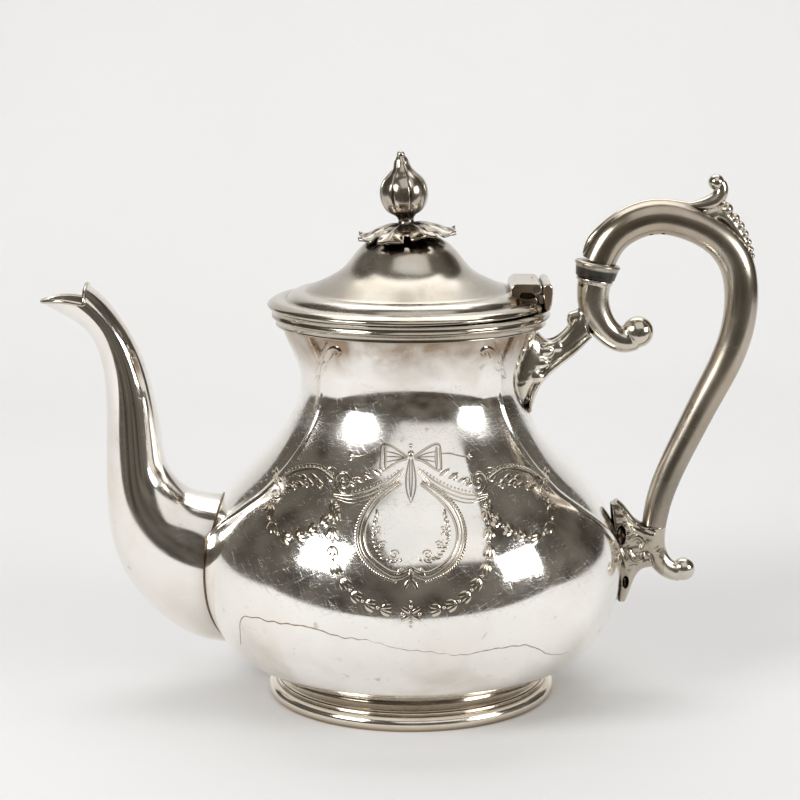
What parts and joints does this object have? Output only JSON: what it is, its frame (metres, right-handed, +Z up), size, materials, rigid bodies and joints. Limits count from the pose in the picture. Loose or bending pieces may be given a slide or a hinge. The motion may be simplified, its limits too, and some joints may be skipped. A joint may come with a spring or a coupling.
{
  "type": "teapot",
  "caption": "Footed silver plated teapot with a lobed pear shaped body, curved spout, hollow scroll handle with a heat break and a hinged domed lid with a bud finial.",
  "frame": {"origin": "middle of the foot, on the table", "axes": "+Z up, -X to the spout, +X to the handle, -Y to the front lobe"},
  "size_m": [0.2703, 0.1604, 0.2062],
  "materials": {
    "silver_sheet": "polished",
    "silver_cast": "polished, darker in the recesses",
    "pin_metal": "satin",
    "brass_fixing": "satin",
    "insulator": "matt"
  },
  "bodies": {
    "pot": {"body_base": "silver_sheet", "body_belly": "silver_sheet", "body_neck": "silver_sheet", "bottom_plate": "silver_sheet", "foot_ring": "silver_sheet", "rim_band": "silver_sheet", "spout_front": "silver_sheet", "spout_back": "silver_sheet", "handle_tube": "silver_sheet", "hinge_body_leaf": "silver_cast", "upper_socket": "silver_cast", "thumb_scroll": "silver_cast", "lower_socket": "silver_cast", "hinge_pin": "pin_metal", "socket_pin": "pin_metal", "handle_pin": "pin_metal", "handle_foot_pin": "pin_metal", "handle_insulator": "insulator"},
    "lid": {"lid_shell": "silver_sheet", "lid_bezel": "silver_sheet", "finial_bud": "silver_cast", "finial_leaves": "silver_cast", "finial_washer": "brass_fixing", "finial_nut": "brass_fixing", "hinge_lid_leaf": "silver_cast"}
  },
  "joints": [
    {"name": "lid_hinge", "type": "hinge", "parent": "pot", "child": "lid", "pos_m": [0.0463, 0, 0.1567], "axis": [0, 1, 0], "range_deg": [0, 100]}
  ]
}
